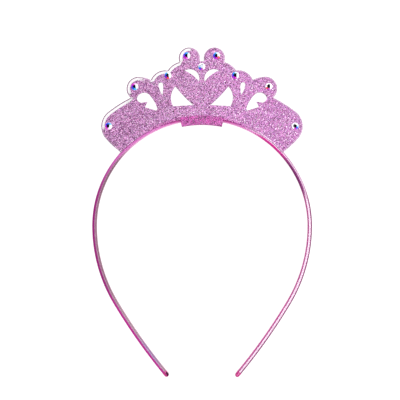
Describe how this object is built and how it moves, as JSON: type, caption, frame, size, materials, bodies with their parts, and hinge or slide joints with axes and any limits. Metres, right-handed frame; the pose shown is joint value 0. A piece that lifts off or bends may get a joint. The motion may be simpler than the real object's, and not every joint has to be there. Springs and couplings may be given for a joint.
{
  "type": "mini crown headband",
  "caption": "Stiff rounded headband with a small flat pierced crown on its front edge, a heart in the middle and nine small stones.",
  "frame": {"origin": "middle of the outline seen from the front, at the height of the band's back edge, which is what the object lies on", "axes": "+Y runs in the plane of the band from its two ends up to the crown, +X is to the right in the front view, and +Z points forwards out of the crown's face, upwards as it lies"},
  "size_m": [0.1254, 0.1878, 0.0098],
  "materials": {
    "band_pink": "glossy metallic pink lacquer",
    "tip_pink": "dipped, saturated glossy pink",
    "block_magenta": "moulded glossy magenta",
    "glitter_acrylic": "orchid pink glitter set in clear plastic, rounded polished front edge",
    "crystal": "foiled flat-back crystal with an iridescent coat"
  },
  "bodies": {
    "root": {"headband": "band_pink", "tip_left": "tip_pink", "tip_right": "tip_pink", "tab_block": "block_magenta", "crown_plate": "glitter_acrylic", "stone_1": "crystal", "stone_2": "crystal", "stone_3": "crystal", "stone_4": "crystal", "stone_5": "crystal", "stone_6": "crystal", "stone_7": "crystal", "stone_8": "crystal", "stone_9": "crystal"}
  },
  "joints": []
}
